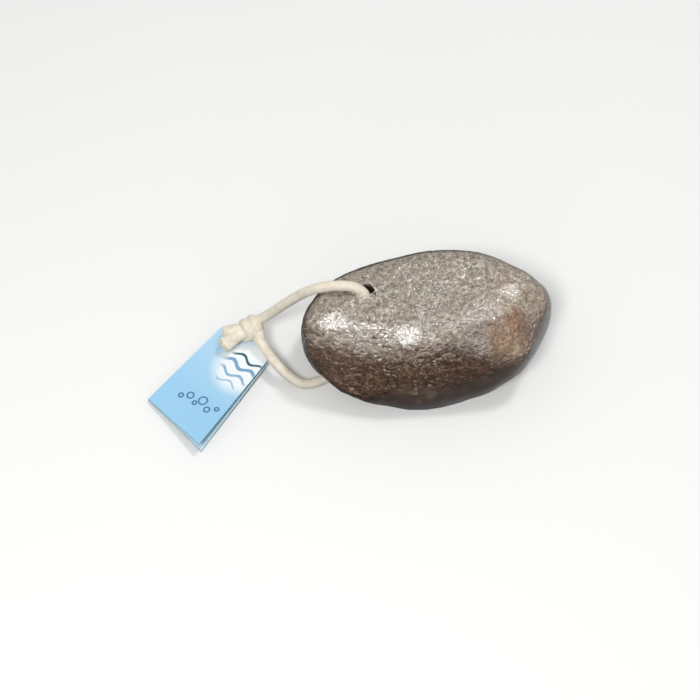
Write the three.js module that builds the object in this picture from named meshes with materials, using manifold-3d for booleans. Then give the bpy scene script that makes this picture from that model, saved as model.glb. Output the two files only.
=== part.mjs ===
import * as THREE from 'three';
import { mergeVertices } from 'three/addons/utils/BufferGeometryUtils.js';
import Module from 'manifold-3d';

const wasm = await Module();
wasm.setup();

// Pumice stone in clear shrink film, with a cotton cord through it and a card tag on the cord.
// Millimetres, +Z up, the stone rests on z = 0 and its long axis lies along X.
// Everything is laid out round the middle of the stone and moved to the frame's origin at the end.

// Height of the middle of the stone above the table
const MIDDLE_HEIGHT = 19.5;

// Rounded block that the flats of the stone are ground from: half sizes and roundness
const BLOCK_HALF_LENGTH = 54;
const BLOCK_HALF_WIDTH = 36;
const BLOCK_HALF_HEIGHT = 24;
const BLOCK_ROUNDNESS = 2.7;
// Sharpness of the edges where two flats meet
const EDGE_SHARPNESS = 20;

// Flats of the stone: azimuth of the flat from +X in degrees, its elevation in degrees,
// and its distance from the middle of the stone
const FLATS = {
  top: [20, 88, 19],
  rightChamfer: [-76, 53, 23.8],
  leftChamfer: [-110, 48, 23],
  frontSide: [-95, 20, 21.5],
  leftFrontSide: [-114, 18, 25.5],
  rightFrontShoulder: [-40, 45, 32.5],
  rightEnd: [-10, 0, 48.8],
  rightBackShoulder: [18, 15, 49.5],
  backRight: [44, 25, 39.5],
  backTop: [74, 32, 31.7],
  backSide: [92, 0, 31],
  backLeft: [98, 31, 29.8],
  leftBackShoulder: [124, 24, 37.5],
  leftBackEnd: [146, 14, 45],
  leftEnd: [172, 0, 48.5],
  leftUnderside: [180, -68, 23.5],
  leftUnder: [-160, -16, 44.5],
  leftFrontUnder: [-134, -27, 36.5],
  frontUnder: [-98, -32, 30.4],
  rightFrontUnder: [-70, -28, 31.8],
  rightUnder: [-40, -18, 39],
  backUnder: [90, -45, 30],
  rightUnderside: [0, -60, 33],
  base: [0, -90, 20.2],
};

// Three more flats of the stone alone: it draws back a little under the front and the right end,
// and the film spans the hollow
const HOLLOWS = {
  frontHollow: [-96, 5, 23.4],
  rightFrontHollow: [-83, -4, 26.8],
  rightHollow: [-30, -8, 42],
};

// Shrink film, drawn thicker than the real 0.02 mm so that it stays a solid
const FILM_THICKNESS = 0.3;
const FILM_GAP = 0.35;
const FILM_DETAIL = 7;

// Pits in the skin of the stone
const PIT_COUNT = 90;
const PIT_RADIUS = 4;
const PIT_DEPTH = 0.7;

// Hole for the cord, from its mouth in the top to its mouth in the sloping underside
const HOLE_TOP = new THREE.Vector3(-21.7, 8.1, 39);
const HOLE_BOTTOM = new THREE.Vector3(-26, 4, 4.7);
const HOLE_RADIUS = 3.6;
const FILM_MOUTH_RADIUS = 4.2;
const PAST_MOUTH = 12;

// Cotton cord
const CORD_RADIUS = 2;
const CORD_SIDES = 8;
const CORD_STEPS = 64;

// Overhand knot
const KNOT_CENTRE = new THREE.Vector3(-65.4, 18.4, 10.2);
const KNOT_HALF_SIZES = new THREE.Vector3(5.2, 4.8, 4.5);
const KNOT_TURN_RADIUS = 3.4;
const TAIL_RADIUS_AT_KNOT = 2.2;
const TAIL_RADIUS_AT_END = 2.7;
const UPPER_TAIL_END = new THREE.Vector3(-75.6, 19.2, 7.7);
const LOWER_TAIL_END = new THREE.Vector3(-77.4, 13.6, 7.4);

// Folded card tag, a little wider at its foot, which is cut at a slight slant
const TAG_LENGTH = 47;
const TAG_FOOT_WIDTH = 30.5;
const TAG_FOOT_SLANT = 3;
const TAG_HEAD_WIDTH = 24.5;
const TAG_CARD = 0.4;
const TAG_CORNER_CUT = 6;
const TAG_FOLD = 0.5;
const TAG_HOLE_RADIUS = 2.3;
const TAG_HOLE_FROM_FOOT = 40.5;
const TAG_HOLE_FROM_FOLD = 5;
const TAG_OPEN_FOOT = 9;
const TAG_OPEN_HEAD = 2.5;
const TAG_LIFT = 2.9;
const TAG_AZIMUTH = 39;
const TAG_CORNER = new THREE.Vector3(-107.8, -0.9, 0.3);

// Strand that goes down through the hole in the tag, and its flattened end under the card
const STRAND_TOP = new THREE.Vector3(-73.2, 20.7, 7);
const STRAND_FOOT = new THREE.Vector3(-73.2, 20.7, 1.2);
const STRAND_RADIUS = 1.7;
const STRAND_END_LENGTH = 8.4;
const STRAND_END_WIDTH = 5.2;
const STRAND_END_HEIGHT = 2;

const UP = new THREE.Vector3(0, 0, 1);
const MIDDLE = new THREE.Vector3(0, 0, MIDDLE_HEIGHT);

function material(colour, roughness, opacity = 1) {
  const settings = { color: colour, roughness, metalness: 0 };
  if (opacity < 1) {
    settings.transparent = true;
    settings.opacity = opacity;
  }
  return new THREE.MeshStandardMaterial(settings);
}

function named(name, geometry, look) {
  geometry.computeVertexNormals();
  const mesh = new THREE.Mesh(geometry, look);
  mesh.name = name;
  return mesh;
}

function positionsOnly(geometry) {
  const bare = new THREE.BufferGeometry();
  bare.setAttribute('position', geometry.getAttribute('position').clone());
  if (geometry.index) {
    bare.setIndex(geometry.index.clone());
  }
  return mergeVertices(bare, 1e-4);
}

function toSolid(geometry) {
  const bare = positionsOnly(geometry);
  const mesh = new wasm.Mesh({
    numProp: 3,
    vertProperties: new Float32Array(bare.getAttribute('position').array),
    triVerts: new Uint32Array(bare.index.array),
  });
  return new wasm.Manifold(mesh);
}

function fromSolid(solid) {
  const mesh = solid.getMesh();
  const geometry = new THREE.BufferGeometry();
  geometry.setAttribute('position', new THREE.BufferAttribute(mesh.vertProperties, 3));
  geometry.setIndex(new THREE.BufferAttribute(mesh.triVerts, 1));
  return geometry;
}

function directionOf(azimuth, elevation) {
  const a = THREE.MathUtils.degToRad(azimuth);
  const e = THREE.MathUtils.degToRad(elevation);
  return new THREE.Vector3(Math.cos(a) * Math.cos(e), Math.sin(a) * Math.cos(e), Math.sin(e));
}

// Distance from the middle to the skin along a direction: the block cut back by every flat,
// with the edges between the flats rounded
function reach(direction, flats) {
  const block = Math.pow(
    Math.pow(Math.abs(direction.x) / BLOCK_HALF_LENGTH, BLOCK_ROUNDNESS)
      + Math.pow(Math.abs(direction.y) / BLOCK_HALF_WIDTH, BLOCK_ROUNDNESS)
      + Math.pow(Math.abs(direction.z) / BLOCK_HALF_HEIGHT, BLOCK_ROUNDNESS),
    1 / BLOCK_ROUNDNESS,
  );
  let total = Math.pow(block, EDGE_SHARPNESS);
  for (const [azimuth, elevation, distance] of Object.values(flats)) {
    const towards = Math.max(0, direction.dot(directionOf(azimuth, elevation)));
    total += Math.pow(towards / distance, EDGE_SHARPNESS);
  }
  return Math.pow(total, -1 / EDGE_SHARPNESS);
}

// Sphere of triangles pulled out to a reach, less a thickness measured square to the skin
function body(flats, thickness) {
  const sphere = positionsOnly(new THREE.IcosahedronGeometry(1, FILM_DETAIL));
  const places = sphere.getAttribute('position');
  const directions = [];
  for (let i = 0; i < places.count; i += 1) {
    const direction = new THREE.Vector3().fromBufferAttribute(places, i).normalize();
    directions.push(direction);
    const place = direction.clone().multiplyScalar(reach(direction, flats));
    places.setXYZ(i, place.x, place.y, place.z);
  }
  sphere.computeVertexNormals();
  const normals = sphere.getAttribute('normal');
  for (let i = 0; i < places.count; i += 1) {
    const direction = directions[i];
    const normal = new THREE.Vector3().fromBufferAttribute(normals, i);
    const length = reach(direction, flats) - thickness / normal.dot(direction);
    const place = direction.clone().multiplyScalar(length).add(MIDDLE);
    places.setXYZ(i, place.x, place.y, place.z);
  }
  return positionsOnly(sphere);
}

// Everything below a height, as a block to take away
function below(height) {
  const depth = 20;
  const block = new THREE.BoxGeometry(200, 200, depth);
  block.translate(0, 0, height - depth / 2);
  return toSolid(block);
}

// Round bar from one point to another, carried past both of them, with its own radius at each end
function bar(from, to, radius, past, sides, endRadius = radius) {
  const along = to.clone().sub(from);
  const rod = new THREE.CylinderGeometry(endRadius, radius, along.length() + 2 * past, sides);
  rod.rotateX(Math.PI / 2);
  rod.applyQuaternion(new THREE.Quaternion().setFromUnitVectors(UP, along.clone().normalize()));
  const centre = from.clone().add(to).multiplyScalar(0.5);
  rod.translate(centre.x, centre.y, centre.z);
  return toSolid(rod);
}

// Shrink film: a thin skin round the stone, flat under it, open at both mouths of the cord hole
const filmOuter = toSolid(body(FLATS, 0)).subtract(below(0));
const filmInner = toSolid(body(FLATS, FILM_THICKNESS)).subtract(below(FILM_THICKNESS));
const mouths = bar(HOLE_TOP, HOLE_BOTTOM, FILM_MOUTH_RADIUS, PAST_MOUTH, 16);
const film = filmOuter.subtract(filmInner).subtract(mouths);

// Pits: shallow round dents spread evenly over the skin by the golden angle, each of its own size
function pitDepthAt(place) {
  const goldenAngle = Math.PI * (3 - Math.sqrt(5));
  let deepest = 0;
  for (let i = 0; i < PIT_COUNT; i += 1) {
    const height = 1 - (2 * i + 1) / PIT_COUNT;
    const ring = Math.sqrt(1 - height * height);
    const turn = i * goldenAngle;
    const axis = new THREE.Vector3(ring * Math.cos(turn), ring * Math.sin(turn), height);
    const centre = axis.multiplyScalar(reach(axis, FLATS));
    const size = 0.6 + 0.4 * Math.sin(7 * i);
    const away = place.distanceTo(centre) / (PIT_RADIUS * (0.7 + 0.3 * size));
    if (away < 1) {
      deepest = Math.max(deepest, PIT_DEPTH * size * Math.pow(1 - away * away, 2));
    }
  }
  return deepest;
}

// Stone: the same flats drawn in behind the film, hollowed at the lower front right,
// each triangle split in four and pressed in at the pits
function stoneBody() {
  const flats = { ...FLATS, ...HOLLOWS };
  const coarse = body(flats, FILM_THICKNESS + FILM_GAP).toNonIndexed().getAttribute('position');
  const places = [];
  for (let i = 0; i < coarse.count; i += 3) {
    const corners = [0, 1, 2].map((k) => new THREE.Vector3().fromBufferAttribute(coarse, i + k));
    const halves = [0, 1, 2].map((k) => corners[k].clone().add(corners[(k + 1) % 3]).multiplyScalar(0.5));
    places.push(corners[0], halves[0], halves[2]);
    places.push(halves[0], corners[1], halves[1]);
    places.push(halves[2], halves[1], corners[2]);
    places.push(halves[0], halves[1], halves[2]);
  }
  const flat = new Float32Array(places.length * 3);
  places.forEach((place, i) => {
    const fromMiddle = place.clone().sub(MIDDLE);
    const length = fromMiddle.length();
    fromMiddle.multiplyScalar((length - pitDepthAt(fromMiddle)) / length).add(MIDDLE);
    fromMiddle.toArray(flat, 3 * i);
  });
  const fine = new THREE.BufferGeometry();
  fine.setAttribute('position', new THREE.BufferAttribute(flat, 3));
  return positionsOnly(fine);
}

const cordHole = bar(HOLE_TOP, HOLE_BOTTOM, HOLE_RADIUS, PAST_MOUTH, 16);
const stone = toSolid(stoneBody()).subtract(below(FILM_THICKNESS + FILM_GAP)).subtract(cordHole);

// Round cord of one thickness along a smooth line through the given points
function cordAlong(points, radius, sides, steps) {
  const section = new THREE.Shape();
  for (let i = 0; i < sides; i += 1) {
    const turn = (2 * Math.PI * i) / sides;
    const x = radius * Math.cos(turn);
    const y = radius * Math.sin(turn);
    if (i === 0) {
      section.moveTo(x, y);
    } else {
      section.lineTo(x, y);
    }
  }
  section.closePath();
  const line = new THREE.CatmullRomCurve3(points.map((p) => new THREE.Vector3(...p)), false, 'centripetal');
  return new THREE.ExtrudeGeometry(section, { steps, bevelEnabled: false, extrudePath: line });
}

// Loop of cord: from the knot up over the left shoulder of the stone, down through the hole,
// out under the raised left end and back along the table to the knot
const loop = cordAlong([
  [-60.3, 19.8, 13.8],
  [-57, 18.9, 17.8],
  [-51.5, 17.2, 25.5],
  [-46, 15.4, 32.6],
  [-41, 13.6, 38],
  [-36, 12, 41],
  [-31, 10.6, 42.4],
  [-26.2, 9.1, 42.4],
  [-22.5, 8, 38.6],
  [-22.4, 7.4, 31],
  [-23.8, 6.1, 21],
  [-25.2, 4.6, 9],
  [-27, 3.3, 4.4],
  [-30.5, 1.3, 2.5],
  [-36, -2, 2.35],
  [-42, -4.8, 2.4],
  [-48, -5.4, 3],
  [-53, -3, 5.4],
  [-57, 1.5, 7.8],
  [-60, 7.3, 9],
  [-62.1, 12.3, 9.8],
], CORD_RADIUS, CORD_SIDES, CORD_STEPS);

// Knot: a tight lump with a turn of cord round it, two frayed tails lying on the tag
// and a strand that passes down through the punched hole and lies flat under the tag
function knotBody() {
  const lump = new THREE.IcosahedronGeometry(1, 3);
  lump.scale(KNOT_HALF_SIZES.x, KNOT_HALF_SIZES.y, KNOT_HALF_SIZES.z);
  lump.translate(KNOT_CENTRE.x, KNOT_CENTRE.y, KNOT_CENTRE.z);
  let knot = toSolid(lump);
  for (const [azimuth, elevation] of [[35, 25], [140, 40]]) {
    const turn = new THREE.TorusGeometry(KNOT_TURN_RADIUS, CORD_RADIUS, 6, 12);
    turn.applyQuaternion(new THREE.Quaternion().setFromUnitVectors(UP, directionOf(azimuth, elevation)));
    turn.translate(KNOT_CENTRE.x, KNOT_CENTRE.y, KNOT_CENTRE.z);
    knot = knot.add(toSolid(turn));
  }
  return knot;
}


function strandUnderTag() {
  const pad = new THREE.IcosahedronGeometry(1, 2);
  pad.scale(STRAND_END_LENGTH / 2, STRAND_END_WIDTH / 2, STRAND_END_HEIGHT / 2);
  pad.translate(STRAND_FOOT.x - STRAND_RADIUS, STRAND_FOOT.y, STRAND_FOOT.z);
  return bar(STRAND_TOP, STRAND_FOOT, STRAND_RADIUS, 0, 10).add(toSolid(pad));
}

const knot = knotBody()
  .add(bar(KNOT_CENTRE, UPPER_TAIL_END, TAIL_RADIUS_AT_KNOT, 0, 10, TAIL_RADIUS_AT_END))
  .add(bar(KNOT_CENTRE, LOWER_TAIL_END, TAIL_RADIUS_AT_KNOT, 0, 10, TAIL_RADIUS_AT_END))
  .add(strandUnderTag());

// Tag: two leaves of card joined along a fold, the front leaf opened more at its foot than
// at its head, with the two head corners cut off and one round hole through both leaves
function leafShape() {
  const shape = new THREE.Shape();
  shape.moveTo(0, 0);
  shape.lineTo(TAG_LENGTH - TAG_CORNER_CUT, 0);
  shape.lineTo(TAG_LENGTH, TAG_CORNER_CUT);
  shape.lineTo(TAG_LENGTH, TAG_HEAD_WIDTH - TAG_CORNER_CUT);
  shape.lineTo(TAG_LENGTH - TAG_CORNER_CUT, TAG_HEAD_WIDTH);
  shape.lineTo(-TAG_FOOT_SLANT, TAG_FOOT_WIDTH);
  shape.closePath();
  return shape;
}

function leaf(height) {
  const sheet = new THREE.ExtrudeGeometry(leafShape(), { depth: TAG_CARD, bevelEnabled: false });
  sheet.translate(0, 0, height);
  return sheet;
}

function openLeaf() {
  const sheet = leaf(TAG_CARD + TAG_FOLD);
  const places = sheet.getAttribute('position');
  for (let i = 0; i < places.count; i += 1) {
    const part = places.getX(i) / TAG_LENGTH;
    const angle = THREE.MathUtils.lerp(TAG_OPEN_FOOT, TAG_OPEN_HEAD, part);
    const rise = places.getY(i) * Math.tan(THREE.MathUtils.degToRad(angle));
    places.setZ(i, places.getZ(i) + rise);
  }
  return sheet;
}

function tagBody() {
  const foldHeight = 2 * TAG_CARD + TAG_FOLD;
  const foldLength = TAG_LENGTH - TAG_CORNER_CUT;
  const fold = new THREE.BoxGeometry(foldLength, TAG_CARD, foldHeight);
  fold.translate(foldLength / 2, TAG_CARD / 2, foldHeight / 2);
  const punch = bar(
    new THREE.Vector3(TAG_HOLE_FROM_FOOT, TAG_HOLE_FROM_FOLD, 0),
    new THREE.Vector3(TAG_HOLE_FROM_FOOT, TAG_HOLE_FROM_FOLD, foldHeight),
    TAG_HOLE_RADIUS,
    4,
    16,
  );
  const card = toSolid(leaf(0)).add(toSolid(openLeaf())).add(toSolid(fold)).subtract(punch);
  const geometry = fromSolid(card);
  geometry.scale(1, -1, 1);
  geometry.setIndex(Array.from(geometry.index.array).reverse());
  geometry.rotateY(-Math.asin(TAG_LIFT / TAG_LENGTH));
  geometry.rotateZ(THREE.MathUtils.degToRad(TAG_AZIMUTH));
  geometry.translate(TAG_CORNER.x, TAG_CORNER.y, TAG_CORNER.z);
  return geometry;
}

const part = new THREE.Group();
part.name = 'pumice_stone_on_cord';
const filmGeometry = fromSolid(film);
part.add(
  named('pumice_stone', fromSolid(stone), material(0x8f877d, 0.9)),
  named('shrink_film', filmGeometry, material(0xf2f4f5, 0.1, 0.15)),
  named('cord_loop', positionsOnly(loop), material(0xe9e1d0, 0.95)),
  named('cord_knot', fromSolid(knot), material(0xe6ddcb, 0.95)),
  named('card_tag', tagBody(), material(0x9acbe6, 0.6)),
);

// The origin goes under the middle of the wrapped stone, on the table
filmGeometry.computeBoundingBox();
const middle = filmGeometry.boundingBox.getCenter(new THREE.Vector3());
for (const mesh of part.children) {
  mesh.geometry.translate(-middle.x, -middle.y, 0);
}

export default part;
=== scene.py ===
import math
import random

import bmesh
import bpy
import numpy as np
from mathutils import Matrix, Vector, noise


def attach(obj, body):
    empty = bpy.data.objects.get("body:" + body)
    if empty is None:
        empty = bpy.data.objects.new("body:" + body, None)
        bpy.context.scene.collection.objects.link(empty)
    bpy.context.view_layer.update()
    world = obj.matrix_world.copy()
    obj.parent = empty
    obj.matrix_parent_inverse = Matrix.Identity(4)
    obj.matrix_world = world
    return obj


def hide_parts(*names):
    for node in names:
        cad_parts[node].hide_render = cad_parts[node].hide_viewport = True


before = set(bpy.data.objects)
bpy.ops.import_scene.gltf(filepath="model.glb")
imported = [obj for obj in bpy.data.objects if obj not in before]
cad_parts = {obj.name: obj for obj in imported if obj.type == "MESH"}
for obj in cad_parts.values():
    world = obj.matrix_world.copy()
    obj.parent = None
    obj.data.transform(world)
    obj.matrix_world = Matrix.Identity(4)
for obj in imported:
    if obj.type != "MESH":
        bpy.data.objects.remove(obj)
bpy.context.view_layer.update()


# Viewpoint
# The object lies on a table and is seen from 58 degrees up, from a little
# left of its front, through a short telephoto lens.
VIEW_AZIMUTH = -10
VIEW_ELEVATION = 58
VIEW_DISTANCE = 0.700
VIEW_AIM = Vector((-0.03017, -0.003655, 0.016))
LENS = 94.74
SENSOR = 36

azimuth = math.radians(VIEW_AZIMUTH)
elevation = math.radians(VIEW_ELEVATION)
towards_viewer = Vector((
    math.sin(azimuth) * math.cos(elevation),
    -math.cos(azimuth) * math.cos(elevation),
    math.sin(elevation),
))
viewer = bpy.data.objects.new("viewer", bpy.data.cameras.new("viewer"))
viewer.data.sensor_width = SENSOR
viewer.data.lens = LENS
viewer.data.clip_start = 0.05
viewer.data.clip_end = 20
viewer.location = VIEW_AIM + towards_viewer * VIEW_DISTANCE
viewer.rotation_euler = (-towards_viewer).to_track_quat("-Z", "Y").to_euler()
bpy.context.collection.objects.link(viewer)
bpy.context.scene.camera = viewer


# Cotton cord
# A 4 mm braided cotton cord, natural off-white, that leaves the knot, runs
# over the left shoulder of the stone, down through the drilled hole, out
# under the raised end and back along the table to the knot.
MM = 0.001
CORD_DIAMETER = 4 * MM
# The part is laid out round the middle of the stone, and this moves it to its origin
LAYOUT_SHIFT = Vector((-0.67, -2.155, 0))
CORD_ROUTE = [
    (-60.3, 19.8, 13.8), (-57, 18.9, 17.8), (-51.5, 17.2, 25.5), (-46, 15.4, 32.6),
    (-41, 13.6, 38), (-36, 12, 41), (-31, 10.6, 42.4), (-26.2, 9.1, 42.4),
    (-22.5, 8, 38.6), (-22.4, 7.4, 31), (-23.8, 6.1, 21), (-25.2, 4.6, 9),
    (-27, 3.3, 4.4), (-30.5, 1.3, 2.5), (-36, -2, 2.35), (-42, -4.8, 2.4),
    (-48, -5.4, 3), (-53, -3, 5.4), (-57, 1.5, 7.8), (-60, 7.3, 9), (-62.1, 12.3, 9.8),
]
CORD_STEP = 0.22
CORD_SIDES = 36
# Both ends run on this far into the knot
CORD_INTO_KNOT = 2
# Braid of eight yarns each way round: a full turn every 15 mm, relief 0.16 mm
BRAID_YARNS = 8
BRAID_TURN = 15
BRAID_RELIEF = 0.16
# Loose cotton hairs, really 0.02 mm thick and drawn 0.05 mm so that they show
HAIR_THICKNESS = 0.05
CORD_HAIRS = 1900
# Straight pieces between two points of the route
LINE_PIECES = 40


def in_frame(point):
    """A point of the layout, in millimetres, as a point of the frame, in metres."""
    return (Vector(point) + LAYOUT_SHIFT) * MM


def smooth_line(points, step):
    """Points a step apart on one smooth line through the given ones, all in millimetres."""
    knots = [Vector(p) for p in points]
    first = knots[0] * 2 - knots[1]
    last = knots[-1] * 2 - knots[-2]
    knots = [first, *knots, last]
    dense = []
    for i in range(1, len(knots) - 2):
        p0, p1, p2, p3 = knots[i - 1:i + 3]
        t0 = 0
        t1 = t0 + math.sqrt((p1 - p0).length)
        t2 = t1 + math.sqrt((p2 - p1).length)
        t3 = t2 + math.sqrt((p3 - p2).length)
        for k in range(LINE_PIECES):
            t = t1 + (t2 - t1) * k / LINE_PIECES
            a1 = p0.lerp(p1, (t - t0) / (t1 - t0))
            a2 = p1.lerp(p2, (t - t1) / (t2 - t1))
            a3 = p2.lerp(p3, (t - t2) / (t3 - t2))
            b1 = a1.lerp(a2, (t - t0) / (t2 - t0))
            b2 = a2.lerp(a3, (t - t1) / (t3 - t1))
            dense.append(b1.lerp(b2, (t - t1) / (t2 - t1)))
    dense.append(knots[-2])
    lengths = [0]
    for a, b in zip(dense, dense[1:]):
        lengths.append(lengths[-1] + (b - a).length)
    count = max(2, round(lengths[-1] / step))
    line = []
    at = 0
    for k in range(count + 1):
        want = lengths[-1] * k / count
        while at < len(dense) - 2 and lengths[at + 1] < want:
            at += 1
        span = lengths[at + 1] - lengths[at]
        line.append(dense[at].lerp(dense[at + 1], (want - lengths[at]) / span))
    return line


def braid_height(turn, along):
    """Height of the braid's yarns, 0 to 1, at a share of a turn round and millimetres along."""
    right = BRAID_YARNS * (turn + along / BRAID_TURN)
    left = BRAID_YARNS * (turn - along / BRAID_TURN)
    over = math.sin(math.pi * right) * math.sin(math.pi * left)
    crest_right = abs(math.cos(math.pi * right)) ** 0.5
    crest_left = abs(math.cos(math.pi * left)) ** 0.5
    return max(crest_right * (0.7 + 0.3 * over), crest_left * (0.7 - 0.3 * over))


def add_tube(verts, faces, line, radius, sides):
    """Adds a closed tube along a line. radius is a function of point index, angle and length so far."""
    first = len(verts)
    tangent = (line[1] - line[0]).normalized()
    side = tangent.orthogonal().normalized()
    so_far = 0
    for i, point in enumerate(line):
        ahead = line[min(i + 1, len(line) - 1)]
        behind = line[max(i - 1, 0)]
        new_tangent = (ahead - behind).normalized()
        side = tangent.rotation_difference(new_tangent) @ side
        side = (side - new_tangent * side.dot(new_tangent)).normalized()
        tangent = new_tangent
        up = tangent.cross(side)
        if i:
            so_far += (point - line[i - 1]).length
        for k in range(sides):
            angle = 2 * math.pi * k / sides
            outward = side * math.cos(angle) + up * math.sin(angle)
            verts.append(point + outward * radius(i, angle, so_far))
        if i:
            row = first + i * sides
            for k in range(sides):
                after = (k + 1) % sides
                faces.append((row - sides + k, row - sides + after, row + after, row + k))
    faces.append(tuple(first + k for k in reversed(range(sides))))
    faces.append(tuple(len(verts) - sides + k for k in range(sides)))


def add_hair(verts, faces, root, outward, length, chance):
    """Adds one curved cotton hair, a three-sided tapering tube."""
    bend = Vector([chance.uniform(-1, 1) for _ in range(3)])
    bend = (bend - outward * bend.dot(outward)) * length
    line = [root + outward * length * s + bend * s * s for s in (0, 0.35, 0.7, 1)]
    add_tube(verts, faces, line, lambda i, a, s: HAIR_THICKNESS / 2 * (1 - 0.25 * i), 3)


def new_piece(name, verts, faces):
    """A mesh object from points in metres."""
    mesh = bpy.data.meshes.new(name)
    mesh.from_pydata([tuple(v) for v in verts], [], faces)
    mesh.validate()
    mesh.shade_smooth()
    piece = bpy.data.objects.new(name, mesh)
    bpy.context.collection.objects.link(piece)
    return piece


def linear(code):
    """sRGB hex code as a linear colour."""
    values = [int(code[i:i + 2], 16) / 255 for i in (1, 3, 5)]
    return [
        v / 12.92 if v <= 0.04045 else ((v + 0.055) / 1.055) ** 2.4 for v in values
    ] + [1]


def add_node(tree, kind, sockets=(), output=None, stops=(), **settings):
    """Adds a node and returns one of its outputs, the first live one unless named.

    Each socket takes another node's output, a number, a list or a hex colour. stops are a
    ramp's places and hex colours, and the other settings are the node's own.
    """
    node = tree.nodes.new("ShaderNode" + kind)
    for name, value in settings.items():
        setattr(node, name, value)
    for _ in stops[2:]:
        node.color_ramp.elements.new(0.5)
    for n, (place, code) in enumerate(stops):
        node.color_ramp.elements[n].position = place
        node.color_ramp.elements[n].color = linear(code)
    for socket, value in dict(sockets).items():
        if isinstance(value, bpy.types.NodeSocket):
            tree.links.new(value, node.inputs[socket])
        elif isinstance(value, str):
            node.inputs[socket].default_value = linear(value)
        else:
            node.inputs[socket].default_value = value
    if output:
        return node.outputs[output]
    return next((o for o in node.outputs if o.enabled), None)


def new_material(name):
    """A material with an empty tree."""
    material = bpy.data.materials.new(name)
    material.use_nodes = True
    material.node_tree.nodes.clear()
    return material, material.node_tree


# Undyed carded cotton: matt, soft-edged and warm off-white, with faint specks of
# seed husk and a nap that brightens towards its outline
cotton, tree = new_material("undyed_braided_cotton")
where = add_node(tree, "TexCoord", output="Object")
# yarn shade varies over about 3 mm, fibres over about 0.15 mm, husks sit 1 mm apart
shade = add_node(tree, "TexNoise", {"Vector": where, "Scale": 330, "Detail": 3, "Roughness": 0.6})
fibres = add_node(tree, "TexNoise", {"Vector": where, "Scale": 6500, "Detail": 2, "Roughness": 0.7})
husks = add_node(tree, "TexVoronoi", {"Vector": where, "Scale": 900}, output="Distance")
cream = add_node(tree, "ValToRGB", {"Fac": shade}, stops=[
    (0.3, "#e3d8c2"), (0.52, "#f0e7d4"), (0.75, "#f8f1e3"),
])
husk_share = add_node(tree, "MapRange", {
    "Value": husks, "From Min": 0.07, "From Max": 0.13, "To Min": 0.6, "To Max": 0.0,
})
specked = add_node(tree, "Mix", {"Factor": husk_share, "A": cream, "B": "#c3ad8b"}, data_type="RGBA")
nap = add_node(tree, "Bump", {"Height": fibres, "Strength": 0.7, "Distance": 0.00012})
skin = add_node(tree, "BsdfPrincipled", {
    "Base Color": specked, "Normal": nap, "Roughness": 0.92, "Sheen Weight": 0.25, "Sheen Roughness": 0.5,
})
add_node(tree, "OutputMaterial", {"Surface": skin})

chance = random.Random(4)
cord_line = smooth_line(CORD_ROUTE, CORD_STEP)
for end, beside in ((0, 1), (-1, -2)):
    onward = (cord_line[end] - cord_line[beside]).normalized()
    count = round(CORD_INTO_KNOT / CORD_STEP)
    extra = [cord_line[end] + onward * CORD_STEP * k for k in range(1, count + 1)]
    cord_line = extra[::-1] + cord_line if end == 0 else cord_line + extra


def cord_radius(i, angle, along):
    """Radius of the braided cord at an angle and a length along it."""
    relief = braid_height(angle / (2 * math.pi), along) - 0.75
    return CORD_DIAMETER / MM / 2 - 0.05 + BRAID_RELIEF * relief


verts, faces = [], []
add_tube(verts, faces, cord_line, cord_radius, CORD_SIDES)
ring_count = len(cord_line)
for _ in range(CORD_HAIRS):
    i = chance.randrange(2, ring_count - 2)
    k = chance.randrange(CORD_SIDES)
    root = verts[i * CORD_SIDES + k]
    outward = (root - cord_line[i]).normalized()
    add_hair(verts, faces, root - outward * 0.05, outward, chance.uniform(0.15, 0.55), chance)
cord = new_piece("cotton_cord", [in_frame(v) for v in verts], faces)
cord.data.materials.append(cotton)
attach(cord, "root")
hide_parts("cord_loop")


# Overhand knot
# Both strands of the cord are tied together in one tight overhand knot, and
# their cut ends stick out side by side as two short tails that have frayed.
KNOT_CENTRE = Vector((-65.4, 18.4, 10.2))
KNOT_HALF_SIZES = (5.2, 4.8, 4.5)
WRAP_STRAND_RADIUS = 2.15
# The wrap goes nearly twice round the strands, its turns pressed together
WRAP_TURNS = 1.8
WRAP_PITCH = 3.2
WRAP_START = 150
WRAP_POINTS = 180
CORE_RADIUS = 2.9
CLIMB_RADIUS = 1.95
UPPER_TAIL_END = Vector((-75.6, 19.2, 7.7))
LOWER_TAIL_END = Vector((-77.4, 13.6, 7.4))
TAIL_RADIUS = 2.3
TAIL_END_RADIUS = 2.95
# Fraying cotton yarns
TAIL_YARNS = 190
YARN_RADIUS = 0.2
KNOT_HAIRS = 2200
# Where the strand that holds the tag goes down through its hole
STRAND_TOP = Vector((-73.2, 20.7, 7))
STRAND_FOOT = Vector((-73.2, 20.7, 1.2))
STRAND_RADIUS = 1.6

chance = random.Random(11)
knot_axis = ((UPPER_TAIL_END + LOWER_TAIL_END) / 2 - KNOT_CENTRE).normalized()
knot_side = knot_axis.cross(Vector((0, 0, 1))).normalized()
knot_up = knot_side.cross(knot_axis)


def braided(radius_at):
    """Radius function of a braided strand whose plain radius changes along it."""
    def radius(i, angle, along):
        relief = braid_height(angle / (2 * math.pi), along) - 0.75
        return radius_at(i) + BRAID_RELIEF * 1.3 * relief
    return radius


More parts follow.
